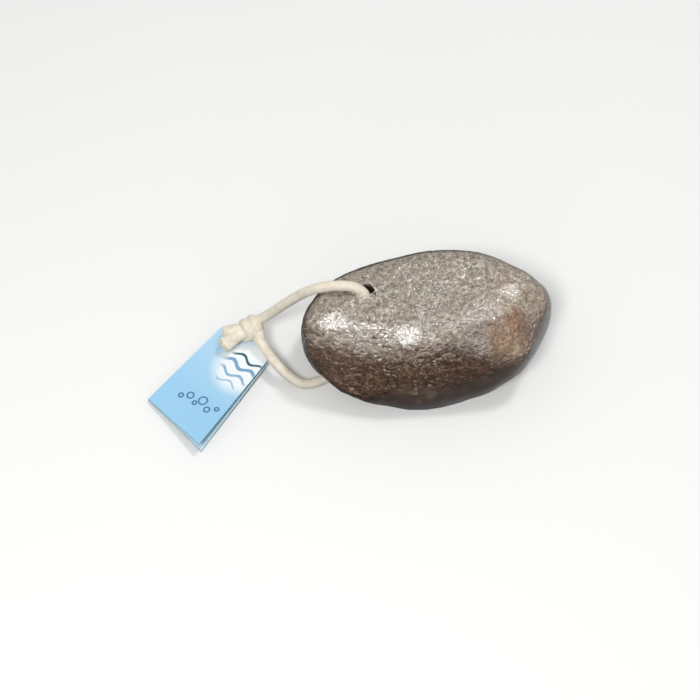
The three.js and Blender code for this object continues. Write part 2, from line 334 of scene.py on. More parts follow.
def wrap_line():
    """The cord wound round the strands, from the loop's side of the knot to the tails' side."""
    line = []
    for k in range(WRAP_POINTS + 1):
        share = k / WRAP_POINTS
        angle = math.radians(WRAP_START) - 2 * math.pi * WRAP_TURNS * share
        across = (KNOT_HALF_SIZES[1] + 0.25 - WRAP_STRAND_RADIUS) * (1 - 0.1 * share)
        above = (KNOT_HALF_SIZES[2] - WRAP_STRAND_RADIUS) * (1 - 0.12 * share)
        along = WRAP_PITCH * WRAP_TURNS * (share - 0.56)
        line.append(
            KNOT_CENTRE + knot_axis * along
            + knot_side * across * math.cos(angle) + knot_up * above * math.sin(angle)
        )
    return line


verts, faces = [], []
add_tube(verts, faces, wrap_line(), braided(lambda i: WRAP_STRAND_RADIUS), 30)
core = smooth_line([
    KNOT_CENTRE - knot_axis * 3.2, KNOT_CENTRE, KNOT_CENTRE + knot_axis * 4.4,
], 0.3)
add_tube(verts, faces, core, braided(lambda i: CORE_RADIUS), 28)
# the loop's lower strand climbs over the right of the knot and tucks in under the upper one
climb = smooth_line([
    CORD_ROUTE[-1], (-62.0, 15.0, 10.9), (-61.9, 17.6, 11.2), (-63.2, 20.2, 10.2),
], 0.25)
add_tube(verts, faces, climb, braided(lambda i: CLIMB_RADIUS), 32)
for end, bow in ((UPPER_TAIL_END, 0.7), (LOWER_TAIL_END, 0.5)):
    middle = KNOT_CENTRE.lerp(end, 0.5) + Vector((0, 0, bow))
    stop = KNOT_CENTRE.lerp(end, 0.86)
    tail = smooth_line([KNOT_CENTRE, middle, stop], 0.22)
    count = len(tail)
    add_tube(
        verts, faces, tail,
        braided(lambda i: TAIL_RADIUS + (TAIL_END_RADIUS - TAIL_RADIUS) * (i / count) ** 2), 36,
    )
    onward = (tail[-1] - tail[-4]).normalized()
    side = onward.orthogonal().normalized()
    up = onward.cross(side)
    # the cut end opens into its yarns
    for _ in range(TAIL_YARNS):
        angle = chance.uniform(0, 2 * math.pi)
        away = math.sqrt(chance.random())
        across = side * math.cos(angle) + up * math.sin(angle)
        start = tail[-1] - onward * 1.4 + across * (TAIL_END_RADIUS - 0.2) * away
        length = chance.uniform(2.0, 3.2) - 0.7 * away
        splay = chance.uniform(-0.15, 0.25) * away
        sway = Vector([chance.uniform(-0.3, 0.3) for _ in range(3)])
        yarn = [
            start + onward * length * s + (across * splay * length + sway) * s * s
            for s in (0, 0.3, 0.6, 0.85, 1)
        ]
        add_tube(verts, faces, yarn, lambda i, a, s: YARN_RADIUS * (1 - 0.12 * i), 6)
strand = smooth_line([
    KNOT_CENTRE.lerp(STRAND_TOP, 0.6), STRAND_TOP, STRAND_TOP.lerp(STRAND_FOOT, 0.5), STRAND_FOOT,
], 0.3)
add_tube(verts, faces, strand, braided(lambda i: STRAND_RADIUS), 24)
body_count = len(verts)
for _ in range(KNOT_HAIRS):
    root = verts[chance.randrange(body_count)]
    outward = (root - KNOT_CENTRE).normalized()
    add_hair(verts, faces, root - outward * 0.1, outward, chance.uniform(0.25, 0.7), chance)
knot = new_piece("cord_knot_with_tails", [in_frame(v) for v in verts], faces)
knot.data.materials.append(cotton)
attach(knot, "root")
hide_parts("cord_knot")


# Folded swing tag
# A card of about 300 g/m2 printed pale blue outside, folded along its left
# edge and punched near the fold, where a cord tail passes through it.
TAG_LENGTH = 47
TAG_FOOT_WIDTH = 30.5
TAG_FOOT_SLANT = 3
TAG_HEAD_WIDTH = 24.5
TAG_CARD = 0.4
TAG_CORNER_CUT = 6
TAG_FOLD = 0.5
TAG_HOLE_RADIUS = 2.3
TAG_HOLE = (40.5, 5)
TAG_OPEN_FOOT = 9
TAG_OPEN_HEAD = 2.5
TAG_LIFT = 2.9
TAG_AZIMUTH = 39
TAG_CORNER = Vector((-107.8, -0.9, 0.3))
# How far the front leaf's middle sinks, and how far the fold rounds in from the edge
TAG_CURL = 0.35
TAG_FOLD_DEPTH = 0.35
FOLD_STEPS = 9
# Size of the cells that let the card bend
TAG_CELL = 1.0
# Side of the square that the print map covers
PRINT_SIDE = 50

tag_turn = Matrix.Rotation(math.radians(TAG_AZIMUTH), 3, "Z")
tag_tip = Matrix.Rotation(-math.asin(TAG_LIFT / TAG_LENGTH), 3, "Y")


def leaf_rings():
    """The leaf's outline and its punched hole, as rings of points along and across the leaf."""
    corners = [
        (0, 0), (TAG_LENGTH - TAG_CORNER_CUT, 0), (TAG_LENGTH, TAG_CORNER_CUT),
        (TAG_LENGTH, TAG_HEAD_WIDTH - TAG_CORNER_CUT), (TAG_LENGTH - TAG_CORNER_CUT, TAG_HEAD_WIDTH),
        (-TAG_FOOT_SLANT, TAG_FOOT_WIDTH),
    ]
    turns = [2 * math.pi * k / 32 for k in range(32)]
    hole = [
        (TAG_HOLE[0] + TAG_HOLE_RADIUS * math.cos(t), TAG_HOLE[1] + TAG_HOLE_RADIUS * math.sin(t))
        for t in turns
    ]
    return corners, hole


def flat_leaf():
    """The leaf cut out flat and ruled into small cells, so that it can bend."""
    sheet = bmesh.new()
    for ring in leaf_rings():
        made = [sheet.verts.new((x, y, 0)) for x, y in ring]
        for a, b in zip(made, made[1:] + made[:1]):
            sheet.edges.new((a, b))
    bmesh.ops.triangle_fill(sheet, use_beauty=True, edges=sheet.edges[:])
    cuts = [((x, 0, 0), (1, 0, 0)) for x in np.arange(-2, TAG_LENGTH, TAG_CELL)]
    cuts += [((0, y, 0), (0, 1, 0)) for y in np.arange(TAG_CELL, TAG_FOOT_WIDTH, TAG_CELL)]
    for place, square in cuts:
        everything = sheet.verts[:] + sheet.edges[:] + sheet.faces[:]
        bmesh.ops.bisect_plane(sheet, geom=everything, plane_co=place, plane_no=square)
    bmesh.ops.remove_doubles(sheet, verts=sheet.verts[:], dist=0.02)
    bmesh.ops.recalc_face_normals(sheet, faces=sheet.faces[:])
    sheet.faces.ensure_lookup_table()
    points = [(v.co.x, v.co.y) for v in sheet.verts]
    cells = [tuple(v.index for v in f.verts) for f in sheet.faces]
    rim = [tuple(v.index for v in e.verts) for e in sheet.edges if len(e.link_faces) == 1]
    if sheet.faces[0].normal.z < 0:
        cells = [c[::-1] for c in cells]
    sheet.free()
    return points, cells, rim


def tag_point(x, y, z):
    """A point of the tag, along it, across it from the fold and up, in the layout's millimetres."""
    return tag_turn @ (tag_tip @ Vector((x, -y, z))) + TAG_CORNER


def leaf_rise(x, y):
    """How far the front leaf stands off the back one: a steady opening with a slight curl."""
    angle = TAG_OPEN_FOOT + (TAG_OPEN_HEAD - TAG_OPEN_FOOT) * x / TAG_LENGTH
    curl = -TAG_CURL * math.sin(math.pi * min(1, y / TAG_FOOT_WIDTH))
    return y * math.tan(math.radians(angle)) + curl


points, cells, rim = flat_leaf()
verts, faces, looks, prints = [], [], [], []
PRINTED, INSIDE, CUT = 0, 1, 2
for lower, rise, over_look, under_look in (
    (0, lambda x, y: 0, INSIDE, PRINTED), (TAG_CARD + TAG_FOLD, leaf_rise, PRINTED, INSIDE),
):
    under = len(verts)
    over = under + len(points)
    for layer in (0, TAG_CARD):
        for x, y in points:
            verts.append(tag_point(x, y, lower + layer + rise(x, y)))
            prints.append((x, y))
    for cell in cells:
        # the tag is laid out mirrored, so its rings turn over
        faces.append(tuple(over + i for i in cell[::-1]))
        faces.append(tuple(under + i for i in cell))
        looks += [over_look, under_look]
    for a, b in rim:
        faces.append((under + a, under + b, over + b, over + a))
        looks.append(CUT)
# the fold: half a round between the two leaves
fold_length = TAG_LENGTH - TAG_CORNER_CUT
fold_height = 2 * TAG_CARD + TAG_FOLD
first = len(verts)
for k in range(FOLD_STEPS):
    angle = math.pi * k / (FOLD_STEPS - 1)
    for radius in (fold_height / 2, fold_height / 2 - TAG_CARD):
        for x in (0, fold_length):
            y = TAG_FOLD_DEPTH - TAG_FOLD_DEPTH * math.sin(angle) * radius / (fold_height / 2)
            verts.append(tag_point(x, y, fold_height / 2 - radius * math.cos(angle)))
            prints.append((x, 0))
for k in range(FOLD_STEPS - 1):
    a = first + 4 * k
    b = a + 4
    faces += [(a, a + 1, b + 1, b), (a + 2, b + 2, b + 3, a + 3)]
    faces += [(a, b, b + 2, a + 2), (a + 1, a + 3, b + 3, b + 1)]
    looks += [PRINTED, INSIDE, CUT, CUT]
tag = new_piece("folded_swing_tag", [in_frame(v) for v in verts], faces)
sheet = bmesh.new()
sheet.from_mesh(tag.data)
bmesh.ops.recalc_face_normals(sheet, faces=sheet.faces[:])
sheet.to_mesh(tag.data)
sheet.free()
print_map = tag.data.uv_layers.new(name="print")
for loop in tag.data.loops:
    x, y = prints[loop.vertex_index]
    print_map.data[loop.index].uv = (x / PRINT_SIDE, y / PRINT_SIDE)
tag.data.shade_flat()


def oval(tree, x, y, length, width, tilt=0.0):
    """Distance from the middle of a leaning oval on the card, 1 at its edge. Sizes in millimetres."""
    at = add_node(tree, "UVMap", uv_map="print")
    turned = add_node(tree, "Mapping", {
        "Vector": at, "Location": (x / PRINT_SIDE, y / PRINT_SIDE, 0), "Rotation": (0, 0, tilt),
        "Scale": (length / PRINT_SIDE, width / PRINT_SIDE, 1),
    }, vector_type="TEXTURE")
    return add_node(tree, "VectorMath", {0: turned}, output="Value", operation="LENGTH")


def ripple(tree, n, x, thick, length):
    """Share of one printed ripple, a fading wavy line across the card.

    It lies at x and swings 1 mm either way. Sizes in millimetres, n shifts the wave.
    """
    print_at = add_node(tree, "UVMap", uv_map="print")
    along = add_node(tree, "SeparateXYZ", {"Vector": print_at}, output="X")
    across = add_node(tree, "SeparateXYZ", {"Vector": print_at}, output="Y")
    turns = 2 * math.pi * PRINT_SIDE / RIPPLE_WAVE
    phase = add_node(tree, "Math", {0: across, 1: turns, 2: 1.2 * n}, operation="MULTIPLY_ADD")
    wave = add_node(tree, "Math", {0: phase}, operation="SINE")
    swing = add_node(tree, "Math", {0: wave, 1: 1.0 / PRINT_SIDE, 2: along}, operation="MULTIPLY_ADD")
    off = add_node(tree, "Math", {0: swing, 1: x / PRINT_SIDE, 2: 0.0}, operation="SUBTRACT")
    off = add_node(tree, "Math", {0: off}, operation="ABSOLUTE")
    line = add_node(tree, "MapRange", {
        "Value": off, "From Min": (thick + 0.15) / PRINT_SIDE, "From Max": (thick - 0.1) / PRINT_SIDE,
    })
    fade = add_node(tree, "MapRange", {
        "Value": oval(tree, x, 18.5, 6, length), "From Min": 1.0, "From Max": 0.6,
    }, interpolation_type="SMOOTHSTEP")
    return add_node(tree, "Math", {0: line, 1: fade}, operation="MULTIPLY")


def bubble(tree, x, y, size):
    """Share of one printed bubble, a thin ring. Sizes in millimetres."""
    ring = add_node(tree, "Math", {0: oval(tree, x, y, size, size), 1: 1.0}, operation="SUBTRACT")
    ring = add_node(tree, "Math", {0: ring}, operation="ABSOLUTE")
    return add_node(tree, "MapRange", {"Value": ring, "From Min": 0.5 / size, "From Max": 0.15 / size})


# Length of one wave of the printed ripples
RIPPLE_WAVE = 9

# Coated card, offset printed: even pale blue with a soft white bloom, blue water
# ripples and a string of bubbles, a low satin shine and a faint tooth of fibre
card, tree = new_material("printed_coated_card")
print_at = add_node(tree, "UVMap", uv_map="print")
along = add_node(tree, "SeparateXYZ", {"Vector": print_at}, output="X")
blue = add_node(tree, "ValToRGB", {"Fac": along}, stops=[(0.25, "#9fd1f1"), (0.95, "#bbdef4")])
bloom = add_node(tree, "MapRange", {
    "Value": oval(tree, 33.5, 20, 13.5, 13, 0.3), "From Min": 1.15, "From Max": 0.6,
}, interpolation_type="SMOOTHSTEP")
layers = [(bloom, "#f4fafc")]
for n, (x, thick, length, colour) in enumerate((
    (36.5, 0.55, 8.5, "#2c5d74"), (32.5, 0.75, 9.5, "#7ba6c8"), (28.0, 0.6, 8.5, "#8fb6d4"),
    (24.2, 0.4, 6.0, "#a5c8e0"),
)):
    layers.append((ripple(tree, n, x, thick, length), colour))
for x, y, size in (
    (9.0, 9.0, 0.9), (11.2, 12.0, 1.3), (9.6, 15.6, 0.8),
    (12.3, 17.6, 1.7), (10.2, 21.6, 1.1), (12.6, 24.6, 0.8),
):
    layers.append((bubble(tree, x, y, size), "#3d77a4"))
ink = blue
for share, colour in layers:
    ink = add_node(tree, "Mix", {"Factor": share, "A": ink, "B": colour}, data_type="RGBA")
tooth = add_node(tree, "TexNoise", {"Vector": print_at, "Scale": 220, "Detail": 3, "Roughness": 0.6})
paper = add_node(tree, "Bump", {"Height": tooth, "Strength": 0.15, "Distance": 0.00005})
satin = add_node(tree, "MapRange", {"Value": tooth, "To Min": 0.42, "To Max": 0.56})
shiny = add_node(tree, "BsdfPrincipled", {"Base Color": ink, "Normal": paper, "Roughness": satin})
add_node(tree, "OutputMaterial", {"Surface": shiny})

# The uncoated inside of the card: matt, faintly blue white with loose pulp fibres
inside, tree = new_material("uncoated_card_inside")
where = add_node(tree, "TexCoord", output="Object")
pulp = add_node(tree, "TexNoise", {"Vector": where, "Scale": 2500, "Detail": 3})
white = add_node(tree, "ValToRGB", {"Fac": pulp}, stops=[(0.3, "#bfe0ee"), (0.7, "#cfe9f4")])
fibre = add_node(tree, "Bump", {"Height": pulp, "Strength": 0.3, "Distance": 0.00005})
add_node(tree, "OutputMaterial", {"Surface": add_node(
    tree, "BsdfPrincipled", {"Base Color": white, "Normal": fibre, "Roughness": 0.8},
)})

# The cut edge of the card: matt pulp, coloured deep teal
edge, tree = new_material("cut_card_edge")
where = add_node(tree, "TexCoord", output="Object")
pulp = add_node(tree, "TexNoise", {"Vector": where, "Scale": 3000, "Detail": 3})
teal = add_node(tree, "ValToRGB", {"Fac": pulp}, stops=[(0.3, "#38728a"), (0.7, "#4f8ea6")])
fuzz = add_node(tree, "Bump", {"Height": pulp, "Strength": 0.5, "Distance": 0.0001})
add_node(tree, "OutputMaterial", {"Surface": add_node(
    tree, "BsdfPrincipled", {"Base Color": teal, "Normal": fuzz, "Roughness": 0.85},
)})

for look in (card, inside, edge):
    tag.data.materials.append(look)
for face, look in zip(tag.data.polygons, looks):
    face.material_index = look
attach(tag, "root")
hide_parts("card_tag")


# Pumice stone
# Grey-brown foamed volcanic glass, ground to a rounded bar with flat faces
# and worn edges, full of open pores, and drilled at a slant for the cord.
MIDDLE = Vector((0, 0, 19.5))
BLOCK_HALF_SIZES = (54, 36, 24)
BLOCK_ROUNDNESS = 2.7
EDGE_SHARPNESS = 20
# azimuth and elevation of each ground face, and its distance from the middle
FACES = [
    (20, 88, 19), (-76, 53, 23.8), (-110, 48, 23), (-95, 20, 21.5), (-114, 18, 25.5),
    (-40, 45, 32.5), (-10, 0, 48.8), (18, 15, 49.5), (44, 25, 39.5), (74, 32, 31.7),
    (92, 0, 31), (98, 31, 29.8), (124, 24, 37.5), (146, 14, 45), (172, 0, 48.5),
    (180, -68, 23.5), (-160, -16, 44.5), (-134, -27, 36.5), (-98, -32, 30.4),
    (-70, -28, 31.8), (-40, -18, 39), (90, -45, 30), (0, -60, 33), (0, -90, 20.2),
]
# the stone draws back under the front and the right end, where the film stands off it
HOLLOWS = [(-96, 5, 23.4), (-83, -4, 26.8), (-30, -8, 42)]
# shallow dents that the film spans: place, radius and depth
DENTS = [
    ((-44.2, -3.6, 32.3), 5.0, 0.4), ((-38.9, -11.9, 19.3), 5.5, 0.5),
    ((-33, -17, 14), 5.0, 0.5), ((44.4, -8.6, 24.5), 6.0, 0.6), ((38, 18, 30), 6.0, 0.5),
    ((-20, 30, 26), 6.0, 0.5), ((12, 31, 20), 5.0, 0.5),
]
# broad hollows, and swellings with a depth below zero, of the ground sides
UNEVEN = [
    ((-19.6, -22.9, 4.6), 10, 1.3), ((9, -26.2, 5.5), 14, 0.8), ((33.3, 17.2, 34.4), 12, 0.9),
    ((-34, -15.5, 10.5), 8, -0.8), ((48, 1.7, 25.4), 9, -0.6),
]
# small flats worn on the ridges: place, radius, azimuth and elevation that they face, depth
WORN_FLATS = [
    ((-34.5, -1.0, 38.0), 6.5, -116, 60, 0.25), ((-9.5, -11.6, 37.2), 7.5, -112, 57, 0.25),
    ((31.0, 0.5, 37.3), 5.5, -60, 77, 0.1),
]
# How far the stone's highest places lie inside the outside of the film
STONE_INSET = 0.25
STONE_FINENESS = 92
# The stretch of the ball of triangles, near the stone's own half sizes
BALL_STRETCH = (48, 29, 20)
# The rims of the drilled hole are worn 0.5 mm deep within 1.4 mm of it
RIM_WEAR = 0.5
RIM_WIDTH = 1.4
# The rod that drills the hole runs on this far past both ends
DRILL_PAST = 12
HOLE_TOP = Vector((-21.4, 8.9, 39))
HOLE_BOTTOM = Vector((-26, 4, 4.7))
HOLE_RADIUS = 3.1


def towards(azimuth, elevation):
    """Direction from angles in degrees, the azimuth counter-clockwise from +X."""
    a, e = math.radians(azimuth), math.radians(elevation)
    return np.array((math.cos(a) * math.cos(e), math.sin(a) * math.cos(e), math.sin(e)))


def reach(directions, flats):
    """Distance from the middle to the skin: the rounded block cut back by every flat."""
    block = sum(
        np.abs(directions[:, i] / BLOCK_HALF_SIZES[i]) ** BLOCK_ROUNDNESS for i in range(3)
    ) ** (1 / BLOCK_ROUNDNESS)
    total = block ** EDGE_SHARPNESS
    for turn, rise, distance in flats:
        total = total + (np.maximum(0, directions @ towards(turn, rise)) / distance) ** EDGE_SHARPNESS
    return total ** (-1 / EDGE_SHARPNESS)


def fine_sphere(fineness):
    """Directions and triangles of a ball of even triangles, stretched as the stone is."""
    ball = bmesh.new()
    bmesh.ops.create_icosphere(ball, subdivisions=1, radius=1)
    corners = [tuple(v.co) for v in ball.verts]
    sides = [tuple(v.index for v in f.verts) for f in ball.faces]
    ball.free()
    found, points, triangles = {}, [], []
    for side in sides:
        a, b, c = (np.array(corners[i]) for i in side)
        grid = {}
        for i in range(fineness + 1):
            for j in range(fineness + 1 - i):
                place = (a * (fineness - i - j) + b * i + c * j) / fineness
                key = tuple(round(v * 1e5) for v in place)
                if key not in found:
                    found[key] = len(points)
                    points.append(place)
                grid[i, j] = found[key]
        for i in range(fineness):
            for j in range(fineness - i):
                triangles.append((grid[i, j], grid[i + 1, j], grid[i, j + 1]))
                if i + j < fineness - 1:
                    triangles.append((grid[i + 1, j], grid[i + 1, j + 1], grid[i, j + 1]))
    directions = np.array(points)
    directions /= np.linalg.norm(directions, axis=1)[:, None]
    directions *= np.array(BALL_STRETCH)
    directions /= np.linalg.norm(directions, axis=1)[:, None]
    return directions, triangles


def square_off(points, triangles):
    """Outward normals of a closed skin of points."""
    t = np.array(triangles)
    across = np.cross(points[t[:, 1]] - points[t[:, 0]], points[t[:, 2]] - points[t[:, 0]])
    normals = np.zeros_like(points)
    for k in range(3):
        np.add.at(normals, t[:, k], across)
    return normals / np.linalg.norm(normals, axis=1)[:, None]


def worn(points):
    """Draws the small flats into points of the skin."""
    for place, radius, turn, rise, depth in WORN_FLATS:
        square = towards(turn, rise)
        centre = np.array(place) - np.array(MIDDLE)
        centre /= np.linalg.norm(centre)
        centre = centre * reach(centre[None], FACES)[0] - square * depth
        share = np.clip(1.5 - 1.5 * np.linalg.norm(points - centre, axis=1) / radius, 0, 1)
        share = share * share * (3 - 2 * share)
        points = points + (share * ((centre - points) @ square))[:, None] * square
    return points


def swell(p):
    """Depth of the hand-ground unevenness that the stone and its film share, in waves of
    about 12 and 5 mm and the broad hollows.
    """
    depth = 0.3 * noise.noise(p * 0.085 + Vector((3, 0, 0))) + 0.16 * noise.noise(p * 0.21)
    for place, radius, hollow in UNEVEN:
        near = (p + MIDDLE - Vector(place)).length / radius
        if near < 1:
            depth += hollow * (1 - near * near) ** 2
    return depth


def stone_relief(p):
    """Depth of the pored skin below its highest places, in millimetres."""
    depth = 0.3 * (0.5 + 0.5 * noise.fractal(p * 0.5, 1, 2, 3))
    # vesicles of 2 to 3 mm here and there, and small ones of about 1 mm all over
    for spacing, size, deepest, share, offset in ((4.0, 0.34, 0.8, 0.4, 0), (1.9, 0.4, 0.5, 0.75, 31)):
        distances, centres = noise.voronoi(p / spacing + Vector((offset, 0, 0)))
        if abs(noise.cell(centres[0] * 7.3)) < share:
            width = size * (0.6 + 0.4 * abs(noise.cell(centres[0] * 3.1)))
            inward = distances[0] / width
            if inward < 1:
                depth += deepest * (1 - inward * inward) ** 1.5
    return depth


def from_hole(p):
    """Distance of a point of the skin from the drilled hole's axis."""
    off = p + MIDDLE - HOLE_TOP
    return (off - hole_axis * off.dot(hole_axis)).length


hole_axis = (HOLE_BOTTOM - HOLE_TOP).normalized()
directions, triangles = fine_sphere(STONE_FINENESS)
skin_points = worn(directions * reach(directions, FACES + HOLLOWS)[:, None])
normals = square_off(skin_points, triangles)
placed = []
for point, normal in zip(skin_points, normals):
    p = Vector(point)
    depth = STONE_INSET + swell(p) + stone_relief(p)
    for place, radius, dent in DENTS:
        near = (p + MIDDLE - Vector(place)).length / radius
        if near < 1:
            depth += dent * (1 - near * near) ** 2
    depth += RIM_WEAR * max(0, 1 - max(0, from_hole(p) - HOLE_RADIUS) / RIM_WIDTH) ** 2
    placed.append(point - normal * depth)
placed = np.array(placed)
# the flat that it rests on, just inside the film
placed[:, 2] = np.maximum(placed[:, 2], 0.3 - MIDDLE.z)
stone = new_piece("pumice_body", [in_frame(Vector(p) + MIDDLE) for p in placed], triangles)


def bored_rod(name, radius, seed, roughness):
    """The drilled hole as a rod to take away, with a torn wall."""
    verts, faces = [], []
    length = (HOLE_BOTTOM - HOLE_TOP).length + 2 * DRILL_PAST
    line = [HOLE_TOP + hole_axis * (length * k / 90 - DRILL_PAST) for k in range(91)]

    def wall(i, angle, so_far):
        at = Vector((math.cos(angle) * 3, math.sin(angle) * 3, so_far + seed))
        return radius + roughness * noise.fractal(at * 0.8, 1, 2, 3)

    add_tube(verts, faces, line, wall, 48)
    return new_piece(name, [in_frame(v) for v in verts], faces)


def take_away(piece, tool):
    """Subtracts a closed tool from a closed piece and bins the tool."""
    cut = piece.modifiers.new("cut", "BOOLEAN")
    cut.operation = "DIFFERENCE"
    cut.solver = "MANIFOLD"
    cut.object = tool
    scene_state = bpy.context.evaluated_depsgraph_get()
    result = bpy.data.meshes.new_from_object(piece.evaluated_get(scene_state))
    piece.modifiers.clear()
    old = piece.data
    name = old.name
    result.materials.clear()
    piece.data = result
    bpy.data.meshes.remove(old)
    result.name = name
    spare = tool.data
    bpy.data.objects.remove(tool)
    bpy.data.meshes.remove(spare)
    piece.data.shade_smooth()


take_away(stone, bored_rod("drill", HOLE_RADIUS, 0, 0.3))

# Pumice: foamed volcanic glass, a light grey-brown froth of glass walls round pores
# that are painted dark as painted shade, matt all over, greyer where it is ground,
# browner at the sides partly as painted shade, darkened on the undersides and in the
# hole as painted shade, rust-stained at the right and painted paler there as painted light
pumice, tree = new_material("ground_pumice")
where = add_node(tree, "TexCoord", output="Object")
facing = add_node(tree, "NewGeometry", output="Normal")
upright = add_node(tree, "SeparateXYZ", {"Vector": facing}, output="Z")
# clots of about 8 mm, blotches of 1.8 mm, froth of 0.6 mm and pores of 0.9 mm, the pores painted dark as
# painted shade
clots = add_node(tree, "TexNoise", {"Vector": where, "Scale": 130, "Detail": 2, "Roughness": 0.5})
blotch = add_node(tree, "TexNoise", {"Vector": where, "Scale": 560, "Detail": 3, "Roughness": 0.65})
froth = add_node(tree, "TexNoise", {"Vector": where, "Scale": 1700, "Detail": 3, "Roughness": 0.7})
pores = add_node(tree, "TexVoronoi", {"Vector": where, "Scale": 1100}, output="Distance")
mottle = add_node(tree, "Math", {0: froth, 1: 0.55}, operation="MULTIPLY")
mottle = add_node(tree, "Math", {0: blotch, 1: 0.45, 2: mottle}, operation="MULTIPLY_ADD")
ground_face = add_node(tree, "ValToRGB", {"Fac": mottle}, stops=[
    (0.35, "#544a3f"), (0.47, "#958a7c"), (0.55, "#b4a99a"), (0.65, "#f0e8dc"),
])
# the steep sides' colour is partly the raw stone's own brown and partly painted shade, darker than the
# stone is
raw_side_and_shade = add_node(tree, "ValToRGB", {"Fac": mottle}, stops=[
    (0.35, "#1f150e"), (0.47, "#523b2b"), (0.55, "#755945"), (0.65, "#c6aa95"),
])
# upward faces take the ground colour and steep ones the side colour, so the tone follows how the skin
# faces, partly as painted shade
level = add_node(tree, "Math", {0: clots, 1: 0.35, 2: upright}, operation="MULTIPLY_ADD")
ground_and_lit_share = add_node(tree, "MapRange", {
    "Value": level, "From Min": 0.56, "From Max": 0.9,
}, interpolation_type="SMOOTHSTEP")
rock_colour = add_node(tree, "Mix", {
    "Factor": ground_and_lit_share, "A": raw_side_and_shade, "B": ground_face,
}, data_type="RGBA")
# clots of froth that are faintly green or lilac, and painted shade on the drawn-back undersides
clot_tint = add_node(tree, "ValToRGB", {"Fac": clots}, stops=[
    (0.38, "#f4faf2"), (0.5, "#fffdfb"), (0.6, "#fcf1f6"),
])
rock_colour = add_node(tree, "Mix", {
    "Factor": 0.45, "A": rock_colour, "B": clot_tint,
}, data_type="RGBA", blend_type="MULTIPLY")
# painted shade: the downward-facing skin is darkened
underside_shade_share = add_node(tree, "MapRange", {
    "Value": level, "From Min": 0.42, "From Max": 0.24,
}, interpolation_type="SMOOTHSTEP")
rock_colour = add_node(tree, "Mix", {
    "Factor": underside_shade_share, "A": rock_colour, "B": "#a2988f",
}, data_type="RGBA", blend_type="MULTIPLY")


def stain_and_light_patch(centre, radius, softness, strength):
    """Share of a patch round a point of the skin, with a ragged edge, for the stains and the painted
    light alike.
    """
    away = add_node(tree, "VectorMath", {
        0: where, 1: in_frame(centre),
    }, output="Value", operation="DISTANCE")
    ragged = add_node(tree, "Math", {0: clots, 1: 0.012, 2: away}, operation="MULTIPLY_ADD")
    ragged = add_node(tree, "Math", {0: blotch, 1: 0.004, 2: ragged}, operation="MULTIPLY_ADD")
    # the two noises add 8 mm on average
    edge_at = (radius + 8) * MM
    return add_node(tree, "MapRange", {
        "Value": ragged, "From Min": edge_at + softness * MM, "From Max": edge_at - softness * MM,
        "To Max": strength,
    }, interpolation_type="SMOOTHSTEP")


# the right end painted paler as painted light, iron stains, and a lavender-grey bloom beside them that is
# a painted reflection of the film
for centre, radius, softness, strength, tint in (
    # painted light: the right end made paler
    ((38, -6, 31), 17, 9, 0.45, "#cfc0b2"),
    # painted reflection: the film's lavender-grey sheen on the chamfer
    ((18.8, -15.1, 34.7), 9, 5, 0.3, "#9b93a3"),
    ((29.6, -15.6, 31.5), 8.5, 3.5, 0.55, "#a08067"),
    ((22.5, -18.5, 31.5), 5, 2.5, 0.5, "#b09d79"),
    ((31.5, -11.5, 33.5), 4, 2, 0.5, "#b18a74"),
    ((38, -12, 30), 5, 3, 0.4, "#5a4650"),
    ((10, -21, 22), 10, 5, 0.3, "#6b4030"),
    ((-39, -9, 21), 11, 6, 0.5, "#b5a497"),
):
    patch_overlay = add_node(tree, "Mix", {
        "Factor": 1.0, "A": rock_colour, "B": tint,
    }, data_type="RGBA", blend_type="OVERLAY")
    toned = add_node(tree, "Mix", {"Factor": 0.22, "A": patch_overlay, "B": tint}, data_type="RGBA")
    rock_colour = add_node(tree, "Mix", {
        "Factor": stain_and_light_patch(centre, radius, softness, strength), "A": rock_colour, "B": toned,
    }, data_type="RGBA")
# painted shade: the pores are darkened in the colour as shade in them would; the same mask sinks them in
# the bump
pore_shade_share = add_node(tree, "MapRange", {
    "Value": pores, "From Min": 0.4, "From Max": 0.18, "To Max": 0.5,
})
rock_colour = add_node(tree, "Mix", {
    "Factor": pore_shade_share, "A": rock_colour, "B": "#2f2721",
}, data_type="RGBA")
# the drilled wall is painted dark as painted shade in the hole
off_top = add_node(tree, "VectorMath", {0: where, 1: in_frame(HOLE_TOP)}, operation="SUBTRACT")
aside = add_node(tree, "VectorMath", {0: off_top, 1: hole_axis}, operation="CROSS_PRODUCT")
aside = add_node(tree, "VectorMath", {0: aside}, output="Value", operation="LENGTH")
hole_shade_share = add_node(tree, "MapRange", {
    "Value": aside, "From Min": (HOLE_RADIUS + 0.5) * MM, "From Max": (HOLE_RADIUS + 0.1) * MM,
    "To Max": 0.85,
})
rock_colour = add_node(tree, "Mix", {
    "Factor": hole_shade_share, "A": rock_colour, "B": "#2a241b",
}, data_type="RGBA")
grain = add_node(tree, "Math", {0: pore_shade_share, 1: -0.9, 2: mottle}, operation="MULTIPLY_ADD")
pitted = add_node(tree, "Bump", {"Height": grain, "Strength": 0.9, "Distance": 0.0005})
rock = add_node(tree, "BsdfPrincipled", {
    "Base Color": rock_colour, "Normal": pitted, "Roughness": 0.93, "Specular IOR Level": 0.1,
})
add_node(tree, "OutputMaterial", {"Surface": rock})
stone.data.materials.append(pumice)
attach(stone, "root")
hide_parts("pumice_stone")


# Shrink film
# A thin clear shrink-wrap skin drawn tight over the whole stone by heat. It
# clings to the ground faces, spans the hollow under the front right, and is
# torn open at both mouths of the hole.
FILM_THICKNESS = 0.07
FILM_FINENESS = 64
FILM_MOUTH_RADIUS = 3.5
# It sinks into the pores where it is within 0.8 mm of the stone
CLING_GAP = 0.8
DIMPLE_DEPTH = 0.12
# From this gap on it stands wholly free
FREE_GAP = 1.2
# The underside keeps this far off the table
UNDERSIDE = 0.02
